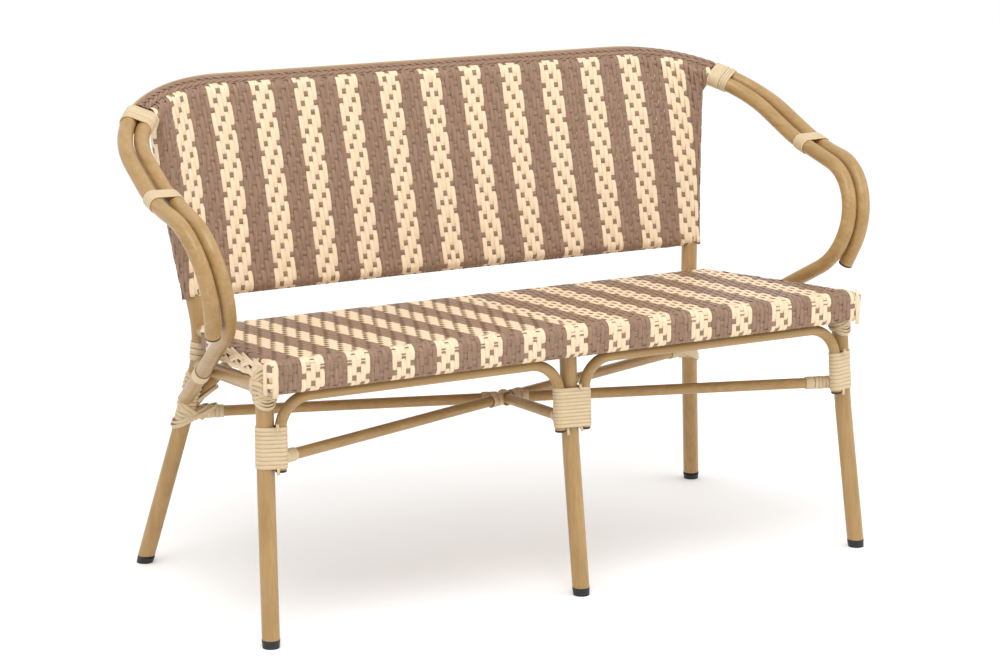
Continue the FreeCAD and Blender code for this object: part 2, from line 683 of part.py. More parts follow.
def clear_of(shape, rods):
    """A wrap with the tubes that pass through it taken out."""
    for tube in rods:
        shape = shape.cut(tube)
    return shape


nodes["leg_binding_right"] = clear_of(side_binding, fitted_rods)
nodes["leg_binding_center"] = clear_of(center_binding, fitted_rods)
nodes["leg_binding_left"] = clear_of(mirror(side_binding), fitted_rods + [left_front_leg])

# Criss-cross wraps where the side rails meet the front legs
wrap_low = level(FRONT_KNEE, FRONT_TOP, TOP_WRAP_Z[0])
wrap_high = level(FRONT_KNEE, FRONT_TOP, TOP_WRAP_Z[1])
leg_wrap = rod(wrap_low, wrap_high, LEG_R + CORD_T)
rail_length = (at(*SIDE_RAIL_REAR) - at(*SIDE_RAIL_FRONT)).Length
rail_wrap_end = between(SIDE_RAIL_FRONT, SIDE_RAIL_REAR, TOP_WRAP_RAIL / rail_length)
leg_wrap = leg_wrap.fuse(rod(SIDE_RAIL_FRONT, rail_wrap_end, ARM_R + CORD_T))
nodes["leg_top_wrap_right"] = clear_of(leg_wrap, [leg_rods["front_leg"], side_rail_rod])

# Bands round the arm tubes, at the rail joint and half way along the arm
joint_r = ARM_R + ARM_JOINT_T
joint_band = round_tubes(inner_joint, [outer_joint], joint_r, joint_r, joint_heading, ARM_JOINT_BAND)
nodes["arm_joint_binding_right"] = clear_of(joint_band, [inner_rod, outer_rod, leg_rods["rear_leg"]])
mid_share = (ARM_MID_Y - INNER_ARM[1]) / (INNER_NOSE[1] - INNER_ARM[1])
inner_mid = at(*between(INNER_ARM, INNER_NOSE, mid_share))
outer_mid = outer_path.distToShape(Part.Vertex(inner_mid))[1][0][0]
arm_heading = (at(*INNER_NOSE) - at(*INNER_ARM)).normalize()
mid_r = ARM_R + CORD_T
mid_band = round_tubes(inner_mid, [outer_mid], mid_r, mid_r, arm_heading, ARM_MID_BAND)
nodes["arm_middle_binding_right"] = clear_of(mid_band, [inner_rod, outer_rod])


# Wraps on the stretcher ends
def end_wrap(joint, far, leg_radius, length):
    """Cord round a stretcher, from the leg's surface outwards."""
    run = (at(*far) - at(*joint)).Length
    start = between(joint, far, leg_radius / run)
    end = between(joint, far, (leg_radius + length) / run)
    return sleeve(start, end, SLIM_R)


binding_r = LEG_R + CORD_T
front_wrap = end_wrap(front_joint, crossing, binding_r, STRETCHER_WRAP)
binding_block = side_binding.fuse(leg_rods["front_leg"]).fuse(arch_rod)
nodes["stretcher_wrap_front_right"] = largest(front_wrap.cut(binding_block))
center_wrap = end_wrap(center_joint, crossing, LEG_R, CENTER_WRAP)
nodes["stretcher_wrap_center"] = largest(center_wrap.cut(center_binding).cut(leg_rods["center_leg"]))

# Rear joint wraps: round the leg and the stretcher's end together
rear_low = level(REAR_FOOT, REAR_BEND, REAR_JOINT_Z[0])
rear_high = level(REAR_FOOT, REAR_BEND, REAR_JOINT_Z[1])
rear_wrap = rod(rear_low, rear_high, LEG_R + CORD_T)
rear_run = (at(*crossing) - at(*rear_joint)).Length
rear_wrap_end = between(rear_joint, crossing, (binding_r + STRETCHER_WRAP) / rear_run)
rear_wrap = rear_wrap.fuse(rod(rear_joint, rear_wrap_end, SLIM_R + CORD_T))
rear_fitted = [leg_rods["rear_leg"], rear_half_rod, mirror(through_rod), rear_arch_rod, inner_rod]
nodes["stretcher_wrap_rear_right"] = clear_of(rear_wrap, rear_fitted)

# Wrap on each rear leg where the side rail ends, and strap round the lower arm tube
rail_wrap_low = level(REAR_FOOT, REAR_BEND, REAR_WRAP_Z[0])
rail_wrap_high = level(REAR_FOOT, REAR_BEND, REAR_WRAP_Z[1])
leg_sleeve = sweep(rear_leg_path, LEG_R + CORD_T)
leg_sleeve = leg_sleeve.common(side_of(at(*rail_wrap_low), Vector(0, 0, 1)))
leg_sleeve = leg_sleeve.common(side_of(at(*rail_wrap_high), Vector(0, 0, -1)))
nodes["rear_leg_wrap_right"] = clear_of(leg_sleeve, [leg_rods["rear_leg"], side_rail_rod, inner_rod])
strap_share = (STRAP_Y - INNER_NOSE[1]) / (INNER_END[1] - INNER_NOSE[1])
strap_half = STRAP_W / 2 / (at(*INNER_END) - at(*INNER_NOSE)).Length
strap_start = between(INNER_NOSE, INNER_END, strap_share - strap_half)
strap_end = between(INNER_NOSE, INNER_END, strap_share + strap_half)
nodes["arm_strap_right"] = sleeve(strap_start, strap_end, ARM_R, STRAP_T).cut(side_rail_rod)

# Binding on the stretcher crossing
crossing_wraps = []
for joint in (front_joint, mirrored(front_joint), rear_joint, mirrored(rear_joint), center_joint):
    run = (at(*joint) - at(*crossing)).Length
    reach = between(crossing, joint, CROSSING_WRAP / 2 / run)
    crossing_wraps.append(rod(crossing, reach, SLIM_R + CROSSING_T))
crossing_wrap = crossing_wraps[0].fuse(crossing_wraps[1:])
nodes["crossing_binding"] = clear_of(crossing_wrap, stretcher_rods)

# The left half mirrors the right
for name in [name for name in nodes if name.endswith("_right")]:
    left_name = name.replace("_right", "_left")
    if left_name not in nodes and name not in ONE_SIDED:
        nodes[left_name] = mirror(nodes[name])

for name, shape in nodes.items():
    shape.exportStep("parts/" + name + ".step")
    print(name, len(shape.Solids), shape.isValid(), round(shape.Volume / 1000, 1))
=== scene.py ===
"""Cafe bench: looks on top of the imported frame.

Sizes in the sections are millimetres, with depth measured back from the front feet, as in the
part's source; each mesh is turned into metres about the middle of the depth when it is made.
"""
import bpy
import math
import numpy as np
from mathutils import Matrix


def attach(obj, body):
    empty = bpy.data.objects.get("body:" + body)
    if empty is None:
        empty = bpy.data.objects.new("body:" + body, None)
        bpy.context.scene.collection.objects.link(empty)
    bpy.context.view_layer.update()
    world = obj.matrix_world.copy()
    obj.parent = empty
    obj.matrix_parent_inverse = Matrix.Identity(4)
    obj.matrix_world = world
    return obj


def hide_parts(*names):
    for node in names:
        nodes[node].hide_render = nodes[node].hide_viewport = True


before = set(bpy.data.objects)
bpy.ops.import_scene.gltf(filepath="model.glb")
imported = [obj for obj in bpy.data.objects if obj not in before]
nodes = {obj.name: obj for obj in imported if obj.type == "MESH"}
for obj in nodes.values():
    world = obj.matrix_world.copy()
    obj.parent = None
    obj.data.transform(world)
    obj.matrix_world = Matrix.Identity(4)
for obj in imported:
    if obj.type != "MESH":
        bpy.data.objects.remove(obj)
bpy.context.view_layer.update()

# Bent tubes: aluminium, lacquered golden tan with a soft sheen and faint fibres along each tube.
# The fibres are one node group, and each finish stretches them along the main run of its tubes:
# upright, along the bench or from front to back.
fibres = bpy.data.node_groups.new("fibres", "ShaderNodeTree")
fibres.interface.new_socket("Vector", in_out="INPUT", socket_type="NodeSocketVector")
fibres.interface.new_socket("Streaks", in_out="OUTPUT", socket_type="NodeSocketFloat")
group_in = fibres.nodes.new("NodeGroupInput")
group_out = fibres.nodes.new("NodeGroupOutput")
fine = fibres.nodes.new("ShaderNodeTexNoise")
fine.inputs["Scale"].default_value = 1.0
fine.inputs["Detail"].default_value = 3.0
broad = fibres.nodes.new("ShaderNodeTexNoise")
broad.inputs["Scale"].default_value = 0.28
broad.inputs["Detail"].default_value = 1.0
blend = fibres.nodes.new("ShaderNodeMix")
blend.inputs["Factor"].default_value = 0.45
fibres.links.new(group_in.outputs["Vector"], fine.inputs["Vector"])
fibres.links.new(group_in.outputs["Vector"], broad.inputs["Vector"])
fibres.links.new(fine.outputs["Fac"], blend.inputs["A"])
fibres.links.new(broad.outputs["Fac"], blend.inputs["B"])
fibres.links.new(blend.outputs["Result"], group_out.inputs["Streaks"])


def fibrous(name, coordinate, stretch, dark, light, rough, bump):
    """A material whose colour and relief follow fibres; stretch is their scale along each axis."""
    material = bpy.data.materials.new(name)
    material.use_nodes = True
    tree = material.node_tree
    surface = tree.nodes["Principled BSDF"]
    place = tree.nodes.new("ShaderNodeTexCoord")
    mapping = tree.nodes.new("ShaderNodeMapping")
    mapping.inputs["Scale"].default_value = stretch
    streaks = tree.nodes.new("ShaderNodeGroup")
    streaks.node_tree = fibres
    ramp = tree.nodes.new("ShaderNodeValToRGB")
    ramp.color_ramp.elements[0].position = 0.3
    ramp.color_ramp.elements[0].color = dark
    ramp.color_ramp.elements[1].position = 0.7
    ramp.color_ramp.elements[1].color = light
    relief = tree.nodes.new("ShaderNodeBump")
    relief.inputs["Strength"].default_value = bump
    relief.inputs["Distance"].default_value = 0.0004
    tree.links.new(place.outputs[coordinate], mapping.inputs["Vector"])
    tree.links.new(mapping.outputs["Vector"], streaks.inputs["Vector"])
    tree.links.new(streaks.outputs["Streaks"], ramp.inputs["Fac"])
    tree.links.new(ramp.outputs["Color"], surface.inputs["Base Color"])
    tree.links.new(streaks.outputs["Streaks"], relief.inputs["Height"])
    tree.links.new(relief.outputs["Normal"], surface.inputs["Normal"])
    surface.inputs["Roughness"].default_value = rough
    return material


def paint(node, material):
    """Gives a carried-over node one finish."""
    node.data.materials.clear()
    node.data.materials.append(material)


TAN_DARK = (0.335, 0.195, 0.062, 1.0)
TAN_LIGHT = (0.455, 0.285, 0.116, 1.0)
TUBE_ROUGH, TUBE_RELIEF = 0.34, 0.10
ALONG, ACROSS = 9.0, 260.0
UPRIGHT = ("front_leg", "rear_leg_l", "rear_leg_r")
FRONT_TO_BACK = ("arm_inner", "arm_outer", "side_rail", "seat_bar_left", "seat_bar_right", "seat_support")
ALONG_BENCH = ("seat_bar", "back_rail", "front_arch", "rear_arch", "stretcher", "back_bar", "rail_spigots")
tan_finish = (TAN_DARK, TAN_LIGHT, TUBE_ROUGH, TUBE_RELIEF)
upright_tan = fibrous("tan_upright", "Object", (ACROSS, ACROSS, ALONG), *tan_finish)
long_tan = fibrous("tan_long", "Object", (ALONG, ACROSS, ACROSS), *tan_finish)
side_tan = fibrous("tan_side", "Object", (ACROSS, ALONG, ACROSS), *tan_finish)
for name, node in nodes.items():
    if name.startswith(UPRIGHT):
        paint(node, upright_tan)
    elif name.startswith(FRONT_TO_BACK):
        paint(node, side_tan)
    elif name.startswith(ALONG_BENCH):
        paint(node, long_tan)

# Black end plugs and foot glides: plain moulded plastic with a fine matt grain. The plugs are pushed
# into the open ends of the outer arms and of the arches, and a glide sits under each of the five feet.
black = bpy.data.materials.new("black_plastic")
black.use_nodes = True
grain = black.node_tree.nodes.new("ShaderNodeTexNoise")
grain.inputs["Scale"].default_value = 900.0
grain_place = black.node_tree.nodes.new("ShaderNodeTexCoord")
grain_relief = black.node_tree.nodes.new("ShaderNodeBump")
grain_relief.inputs["Strength"].default_value = 0.15
grain_relief.inputs["Distance"].default_value = 0.0002
black_surface = black.node_tree.nodes["Principled BSDF"]
black_surface.inputs["Base Color"].default_value = (0.012, 0.012, 0.013, 1.0)
black_surface.inputs["Roughness"].default_value = 0.5
black.node_tree.links.new(grain_place.outputs["Object"], grain.inputs["Vector"])
black.node_tree.links.new(grain.outputs["Fac"], grain_relief.inputs["Height"])
black.node_tree.links.new(grain_relief.outputs["Normal"], black_surface.inputs["Normal"])
for name in ("arm_plugs", "arch_plugs", "foot_glides"):
    paint(nodes[name], black)

# Woven back: flat plastic strands 8 mm apart from the rail to the lower bar, five cream and five brown
# in turn, crossed every 15.6 mm by olive brown strands that show over one strand in three. Each row
# shows one strand further out than the row above, and the ends turn back round the posts.
BROWN_DARK = (0.200, 0.110, 0.066, 1.0)
BROWN_LIGHT = (0.350, 0.212, 0.134, 1.0)
OLIVE_DARK = (0.190, 0.118, 0.068, 1.0)
OLIVE_LIGHT = (0.335, 0.222, 0.136, 1.0)
CREAM_DARK = (0.790, 0.590, 0.375, 1.0)
CREAM_LIGHT = (0.900, 0.715, 0.500, 1.0)
STRAND_GRAIN = (5.0, 60.0, 1.0)
brown = fibrous("strand_brown", "UV", STRAND_GRAIN, BROWN_DARK, BROWN_LIGHT, 0.42, 0.20)
olive = fibrous("strand_olive", "UV", STRAND_GRAIN, OLIVE_DARK, OLIVE_LIGHT, 0.42, 0.20)
cream = fibrous("strand_cream", "UV", STRAND_GRAIN, CREAM_DARK, CREAM_LIGHT, 0.46, 0.15)

MID_DEPTH, METRE = 270.1, 1000.0
FLAT = 0.43
STRAND_SHAPE = np.array([(0.5, 0.0), (FLAT, 0.5), (-FLAT, 0.5), (-0.5, 0.0), (-FLAT, -0.5), (FLAT, -0.5)])
GRAIN_STEP = 1.7


def unit(vectors):
    return vectors / np.linalg.norm(vectors, axis=-1, keepdims=True)


def walked(line):
    """Distance walked along a line, at each of its points."""
    return np.concatenate([[0.0], np.cumsum(np.linalg.norm(np.diff(line, axis=0), axis=1))])


def strands(name, runs, thick, material):
    """One mesh of flat strands; a run is centre points, outward directions, closed or not, and width."""
    corners = len(STRAND_SHAPE)
    points, faces, grains = [], [], []
    count = 0
    for index, (centres, outward, closed, width) in enumerate(runs):
        if closed:
            step = np.roll(centres, -1, axis=0) - np.roll(centres, 1, axis=0)
        else:
            step = np.gradient(centres, axis=0)
        along = unit(step)
        side = unit(np.cross(outward, along))
        over = np.cross(along, side)
        rings = (
            centres[:, None]
            + side[:, None] * (STRAND_SHAPE[None, :, :1] * width)
            + over[:, None] * (STRAND_SHAPE[None, :, 1:] * thick)
        )
        points.append(rings.reshape(-1, 3))
        rows = len(centres)
        across = np.tile(STRAND_SHAPE[:, 0] + 0.5 + GRAIN_STEP * index, rows)
        grains.append(np.stack([across, np.repeat(walked(centres) / METRE, corners)], axis=1))
        here = np.arange(rows if closed else rows - 1)[:, None]
        follow = (here + 1) % rows
        spot = np.arange(corners)[None]
        beside = (spot + 1) % corners
        quad = [(here, spot), (here, beside), (follow, beside), (follow, spot)]
        quads = np.stack([row * corners + corner for row, corner in quad], axis=-1)
        faces += (quads.reshape(-1, 4) + count).tolist()
        if not closed:
            faces.append([count + i for i in reversed(range(corners))])
            faces.append([count + (rows - 1) * corners + i for i in range(corners)])
        count += rows * corners
    spots = (np.concatenate(points) - (0.0, MID_DEPTH, 0.0)) / METRE
    mesh = bpy.data.meshes.new(name)
    mesh.from_pydata(spots.tolist(), [], faces)
    mesh.shade_smooth()
    corner_points = np.zeros(len(mesh.loops), np.int32)
    mesh.loops.foreach_get("vertex_index", corner_points)
    layer = mesh.uv_layers.new(name="grain")
    layer.data.foreach_set("uv", np.concatenate(grains)[corner_points].astype(np.float32).ravel())
    mesh.materials.append(material)
    piece = bpy.data.objects.new(name, mesh)
    bpy.context.scene.collection.objects.link(piece)
    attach(piece, "root")
    return piece


RAIL_STRAIGHT, RAIL_R, FACE_R = 396.8, 195.0, 181.0
RAIL_DEPTH, RAIL_HEIGHT = 518.0, 786.5
RAIL_INWARD = np.array([0.0, -0.906, -0.4235])
BAR_R, BAR_DEPTH, BAR_HEIGHT = 13690.0, 440.5, 476.0
RAIL_OFF, BAR_OFF, POST_OFF = 14.7, 12.9, 16.5
RAIL_SWELL, BAR_SWELL = (480.0, 520.0), (436.0, 486.0)
EDGE_TOP, EDGE_TAPER = 520.0, 34.5
FLARE, FLARE_SHARE = 24.0, 0.12
LAST_SPAN = 505.0


def back_lines(s):
    """At a distance s from the middle: axes of rail and lower bar, and the panel's outward and down ways."""
    zero = np.zeros_like(s)
    turn = np.clip((s - RAIL_STRAIGHT) / FACE_R, 0.0, None)
    reach = np.minimum(s, RAIL_STRAIGHT) + RAIL_R * np.sin(turn)
    rail = np.stack([reach, zero + RAIL_DEPTH, zero + RAIL_HEIGHT], axis=-1)
    rail = rail + RAIL_INWARD * (RAIL_R * (1 - np.cos(turn)))[..., None]
    rail_way = np.stack([np.cos(turn), zero, zero], axis=-1) + RAIL_INWARD * np.sin(turn)[..., None]
    swing = s / BAR_R
    bowed = BAR_DEPTH - BAR_R * (1 - np.cos(swing))
    bar = np.stack([BAR_R * np.sin(swing), bowed, zero + BAR_HEIGHT], axis=-1)
    bar_way = np.stack([np.cos(swing), -np.sin(swing), zero], axis=-1)
    down = unit(bar - rail)
    out = unit(np.cross(down, unit(rail_way + bar_way)))
    return rail, bar, out, down


def back_sheet(s, share):
    """Point of the panel at a share of the way from rail to bar, and its outward direction."""
    rail, bar, out, _ = back_lines(s)
    top = rail + out * np.interp(s, RAIL_SWELL, (RAIL_OFF, POST_OFF))[..., None]
    low = bar + out * np.interp(s, BAR_SWELL, (BAR_OFF, POST_OFF))[..., None]
    return top + (low - top) * share[..., None], out


def back_edge(share):
    """Distance from the middle at which the panel turns round its post."""
    flare = FLARE * np.clip(1 - share / FLARE_SHARE, 0.0, 1.0) ** 2
    return EDGE_TOP - EDGE_TAPER * share + flare


def bent_round(spot, out, way, radius, angle):
    """Point and outward direction, carried by an angle round a tube that lies behind the point."""
    sine, cosine = np.sin(angle)[..., None], np.cos(angle)[..., None]
    return spot + radius * (way * sine - out * (1 - cosine)), out * cosine + way * sine


def back_point(s, drop):
    """Point and outward direction at s from the middle and a drop below the rail's front."""
    one = np.ones_like(s)
    mirror = np.stack([np.where(s < 0, -1.0, 1.0), one, one], axis=-1)
    s = np.abs(s)
    held = np.minimum(s, LAST_SPAN)
    down = back_lines(held)[3]
    length = np.linalg.norm(back_sheet(held, one * 0.0)[0] - back_sheet(held, one)[0], axis=-1)
    share = np.clip(drop / length, 0.0, 1.0)
    inside = np.minimum(s, back_edge(share))
    spot, out = back_sheet(inside, share)
    sideways = unit(back_sheet(inside + 1.0, share)[0] - spot)
    sideways = unit(sideways - out * np.sum(sideways * out, axis=-1, keepdims=True))
    spot, normal = bent_round(spot, out, sideways, POST_OFF, (s - inside) / POST_OFF)
    over = np.clip(-drop, 0.0, None) / RAIL_OFF
    spot, over_rail = bent_round(spot, out, -down, RAIL_OFF, over)
    normal = np.where(over[..., None] > 0, over_rail, normal)
    beyond = np.clip(drop - length, 0.0, None)
    round_post = s > inside
    spot = spot + down * np.where(round_post, beyond, 0.0)[..., None]
    under = np.where(round_post, 0.0, beyond / BAR_OFF)
    spot, under_bar = bent_round(spot, out, down, BAR_OFF, under)
    normal = np.where(under[..., None] > 0, under_bar, normal)
    return spot * mirror, normal * mirror


BACK_DROP, EDGE_DROP = 322.0, 318.0
LEAN = 5.0
PULL, PULL_AHEAD, PULL_REACH = 0.0125, 60.0, 300.0
RIGHT_END, RIGHT_PULL = 220.0, 0.05
LEFT_END, LEFT_PULL = 300.0, 0.025


def back_shift(s, drop):
    """How far a strand lies left of its even spacing: a lean, and a pull that is strongest 120 mm down."""
    lean = LEAN * (1 - np.clip(drop, 0.0, BACK_DROP) / BACK_DROP)
    sag = np.sin(math.pi * (np.clip(drop, 0.0, PULL_REACH) + PULL_AHEAD) / (PULL_REACH + PULL_AHEAD))
    ends = RIGHT_PULL * np.clip(s - RIGHT_END, 0.0, None) + LEFT_PULL * np.clip(-s - LEFT_END, 0.0, None)
    return lean + sag * (PULL * s - ends)


BETWEEN, BESIDE = -0.5, 0.22
steps = np.array([BETWEEN, -BESIDE, BESIDE])


def crosses_over(j, k):
    """Whether cross strand k lies over strand j, counted from the middle."""
    return (np.abs(j) - k) % 3 == 0


def wave(above, above_before, place, height):
    """Height of a strand beside each crossing, and half way from the crossing before."""
    level = np.where(above, height, -height)
    before = np.where(above_before, height, -height)
    return np.where(place == BETWEEN, (level + before) / 2, level)


def is_cream(j):
    """Strands change colour in fives, with a cream five in the middle."""
    return (abs(j) + 2) // 5 % 2 == 0


STRAND, ROW = 8.0, 15.62
LOW_ROW, LOW_ROW_DROP = 18, 296.0
STRAND_WIDTH, STRAND_LIFT, CROSS_LIFT = 8.6, 0.95, 0.6
STRAND_WRAP, CROSS_WRAP, LOW_MARGIN = 54.0, 48.0, 10.0
FEWEST_POINTS = 4
rows = np.arange(-3, 23)
crossed = np.arange(-75, 76)
cream_runs, brown_runs, cross_runs = [], [], []
for j in range(-73, 74):
    row = np.repeat(rows, len(steps))
    place = np.tile(steps, len(rows))
    drop = LOW_ROW_DROP + (row + place - LOW_ROW) * ROW
    lift = wave(~crosses_over(j, row), ~crosses_over(j, row - 1), place, STRAND_LIFT)
    s = j * STRAND - back_shift(j * STRAND, drop)
    beyond = np.abs(s) - back_edge(np.clip(drop / BACK_DROP, 0.0, 1.0))
    off_corner = (beyond > 0) & ((drop < 0) | (drop > EDGE_DROP))
    keep = (beyond < STRAND_WRAP) & ~off_corner
    if keep.sum() < FEWEST_POINTS:
        continue
    spot, normal = back_point(s[keep], drop[keep])
    runs = cream_runs if is_cream(j) else brown_runs
    runs.append((spot + normal * lift[keep][:, None], normal, False, STRAND_WIDTH))
for k in rows:
    drop = LOW_ROW_DROP + (k - LOW_ROW) * ROW
    edge = float(back_edge(np.clip(drop / BACK_DROP, 0.0, 1.0)))
    reach = edge + (CROSS_WRAP if 0 < drop < EDGE_DROP - LOW_MARGIN else 0.0)
    j = np.repeat(crossed, len(steps))
    place = np.tile(steps, len(crossed))
    lift = wave(crosses_over(j, k), crosses_over(j - 1, k), place, CROSS_LIFT)
    even = (j + place) * STRAND
    s = even - back_shift(even, drop)
    keep = np.abs(s) < reach
    spot, normal = back_point(s[keep], np.full(keep.sum(), drop))
    cross_runs.append((spot + normal * lift[keep][:, None], normal, False, STRAND_WIDTH))
back_cream = strands("back_strands_cream", cream_runs, 1.6, cream)
back_brown = strands("back_strands_brown", brown_runs, 1.6, brown)
back_cross = strands("back_cross_strands", cross_runs, 1.3, olive)
for piece in (back_cream, back_brown, back_cross):
    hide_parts("back_weave")

# Plait along the top of the back: seven brown strands in the groove between the two rails,
# 102 mm to each full turn, from one rail binding to the other.
GROOVE_STRAIGHT, GROOVE_R, GROOVE_ARC = 395.5, 217.5, math.radians(46.0)
GROOVE_DEPTH, GROOVE_HEIGHT, PLAIT_RISE = 531.5, 794.25, 14.5
GROOVE_UP = np.array([0.0, -0.498, 0.867])
GROOVE_POINTS = 601


def plait(line, out, across, turn, spread, height, count, waves, width):
    """Strands that cross over each other along a line; out and across are its two directions."""
    runs = []
    for strand in range(count):
        angle = 2 * math.pi * (walked(line) / turn + strand / count)
        sideways = across * (spread * np.cos(angle))[:, None]
        outwards = out * (height * np.sin(waves * angle))[:, None]
        runs.append((line + sideways + outwards, out, False, width))
    return runs


travel = np.linspace(-1.0, 1.0, GROOVE_POINTS) * (GROOVE_STRAIGHT + GROOVE_R * GROOVE_ARC)
turn = np.clip((np.abs(travel) - GROOVE_STRAIGHT) / GROOVE_R, 0.0, None)
reach = np.sign(travel) * (np.minimum(np.abs(travel), GROOVE_STRAIGHT) + GROOVE_R * np.sin(turn))
level = np.zeros(GROOVE_POINTS)
groove = np.stack([reach, level + GROOVE_DEPTH, level + GROOVE_HEIGHT], axis=-1)
groove = groove + RAIL_INWARD * (GROOVE_R * (1 - np.cos(turn)))[:, None]
groove_along = unit(np.gradient(groove, axis=0))
groove_across = unit(np.cross(GROOVE_UP, groove_along))
groove_up = np.cross(groove_along, groove_across)
top_line = groove + groove_up * PLAIT_RISE
top_runs = plait(
    top_line, groove_up, groove_across, turn=102.0, spread=8.0, height=1.9, count=7, waves=2, width=6.0
)
top_braid = strands("top_plait", top_runs, 2.2, brown)
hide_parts("top_braid")

# Woven seat: the same strands, 7.85 mm apart, rolled round the rear bar, straight over the seat and
# down the front, crossed every 16.2 mm on top and four times, 12.5 mm apart, on the front.
# The outer strands roll down over the seat's sides.
REAR_BAR, FRONT_BAR, LOW_BAR = np.array([383.5, 412.6]), np.array([10.0, 434.5]), np.array([10.0, 408.0])
BAR_ROLL, TOP_RUN = 12.5, 374.1
slope = (REAR_BAR[1] - FRONT_BAR[1]) / (REAR_BAR[0] - FRONT_BAR[0])
seat_up = np.array([-slope, 1.0]) / math.hypot(slope, 1.0)
seat_back = np.array([seat_up[1], -seat_up[0]])
rear_run = BAR_ROLL * math.pi
top_end = rear_run + TOP_RUN
front_run = BAR_ROLL * math.acos(-seat_up[0])
face_run = FRONT_BAR[1] - LOW_BAR[1]
low_run = BAR_ROLL * math.pi / 2


def seat_profile(travel):
    """Depth, height and outward direction along a strand, from under the rear bar to below the front."""
    forward, floorward = np.array([-1.0, 0.0]), np.array([0.0, -1.0])
    angle = np.clip(travel, 0, rear_run)[:, None] / BAR_ROLL
    out = -np.cos(angle) * seat_up + np.sin(angle) * seat_back
    run = np.clip(travel, rear_run, top_end) - rear_run
    spot = REAR_BAR + out * BAR_ROLL - seat_back * run[:, None]
    rest = (travel - top_end)[:, None]
    angle = np.clip(rest, 0, front_run) / BAR_ROLL
    front_out = np.cos(angle) * seat_up - np.sin(angle) * seat_back
    out = np.where(rest > 0, front_out, out)
    spot = np.where(rest > 0, FRONT_BAR + front_out * BAR_ROLL, spot)
    rest = rest - front_run
    face = FRONT_BAR + forward * BAR_ROLL + floorward * np.clip(rest, 0, face_run)
    spot = np.where(rest > 0, face, spot)
    rest = rest - face_run
    angle = np.clip(rest, 0, low_run) / BAR_ROLL
    low_out = np.cos(angle) * forward + np.sin(angle) * floorward
    out = np.where(rest > 0, low_out, out)
    spot = np.where(rest > 0, LOW_BAR + low_out * BAR_ROLL, spot)
    return spot, out


SEAT_HALF, SEAT_TAPER = 544.0, 0.125
SIDE_ROLL, LAST_ROLL = 10.0, 1.4
CORNER_R, CORNER_DEPTH = 27.0, 369.5


def seat_point(x, travel):
    """Point, outward direction and whether it lies on the seat, at x from the middle."""
    spot, out = seat_profile(travel)
    zero = np.zeros_like(x)
    reach = SEAT_HALF - SEAT_TAPER * spot[:, 0] - SIDE_ROLL
    held = np.minimum(np.abs(x), reach)
    roll = np.clip(np.abs(x) - reach, 0.0, None) / SIDE_ROLL
    inset = np.clip(held + SIDE_ROLL * np.sin(roll) - reach - SIDE_ROLL + CORNER_R, 0, CORNER_R)
    on_seat = (roll < LAST_ROLL) & (spot[:, 0] < CORNER_DEPTH + np.sqrt(CORNER_R ** 2 - inset ** 2))
    flat = np.stack([np.sign(x) * held, spot[:, 0], spot[:, 1]], axis=-1)
    up = np.stack([zero, out[:, 0], out[:, 1]], axis=-1)
    sideways = np.stack([np.sign(x), zero, zero], axis=-1)
    points, normal = bent_round(flat, up, sideways, SIDE_ROLL, roll)
    return points, normal, on_seat


DRIFT_RUN, DRIFT_HALF = 300.0, 480.0
SHIFT_FRONT, SHIFT_REAR, SPREAD_REAR = -1.5, -4.0, 6.5
BOW_FRONT, BOW_REAR = 4.5, 5.0


def seat_drift(x, travel):
    """How far a strand lies right of its even spacing: it spreads to the ends, more so at the rear."""
    rear = np.clip((top_end - travel) / DRIFT_RUN, 0.0, 1.0)
    end = x / DRIFT_HALF
    bow = (BOW_FRONT + BOW_REAR * rear ** 2) * end ** 2
    return SHIFT_FRONT + SHIFT_REAR * rear + SPREAD_REAR * rear ** 2 * end + bow


SEAT_STRAND, SEAT_SHIFT = 7.85, -8.5
TOP_ROW, LAST_TOP_ROW, TOP_SKEW = 16.2, 5.0, -0.02
FACE_ROW, FIRST_FACE_ROW, FACE_SKEW = 12.5, 20.0, -0.003
SEAT_LIFT, SEAT_CROSS_LIFT, MOST_BESIDE = 0.9, 0.55, 3.6
SEAT_STRAND_WIDTH, SEAT_CROSS_WIDTH = 8.2, 8.0
FIRST_END, LAST_END = 6.2, 6.0
row_turn = np.arange(-25, 5)
row_count = len(row_turn)
top_rows = top_end + LAST_TOP_ROW + TOP_ROW * row_turn
face_rows = top_end + FIRST_FACE_ROW + FACE_ROW * (row_turn - 1)
seat_rows = np.where(row_turn > 0, face_rows, top_rows)
row_skew = np.where(row_turn < 0, TOP_SKEW, FACE_SKEW)
half_way = (seat_rows[1:] + seat_rows[:-1]) / 2
row_ends = np.concatenate([[seat_rows[0] - FIRST_END], half_way, [seat_rows[-1] + LAST_END]])
bends = np.concatenate([np.linspace(0.0, rear_run, 9), top_end + np.linspace(1.0, front_run, 7)])
seat_crossed = np.arange(-70, 73)
cream_runs, brown_runs, cross_runs = [], [], []
for j in range(-69, 72):
    row = np.repeat(np.arange(row_count), len(steps))
    place = np.tile(steps, row_count)
    pitch = row_ends[row + 1] - row_ends[row]
    beside = seat_rows[row] + np.sign(place) * np.minimum(BESIDE * pitch, MOST_BESIDE)
    travel = np.where(place == BETWEEN, row_ends[row], beside)
    above, above_before = ~crosses_over(j, row_turn[row]), ~crosses_over(j, row_turn[row] - 1)
    lift = wave(above, above_before, place, SEAT_LIFT)
    even = j * SEAT_STRAND + SEAT_SHIFT
    travel = np.concatenate([travel + row_skew[row] * even, bends])
    lift = np.concatenate([lift, np.full(len(bends), SEAT_LIFT)])
    order = np.argsort(travel)
    spot, normal, keep = seat_point(even + seat_drift(even, travel[order]), travel[order])
    if keep.sum() < FEWEST_POINTS:
        continue
    runs = cream_runs if is_cream(j) else brown_runs
    runs.append(((spot + normal * lift[order][:, None])[keep], normal[keep], False, SEAT_STRAND_WIDTH))
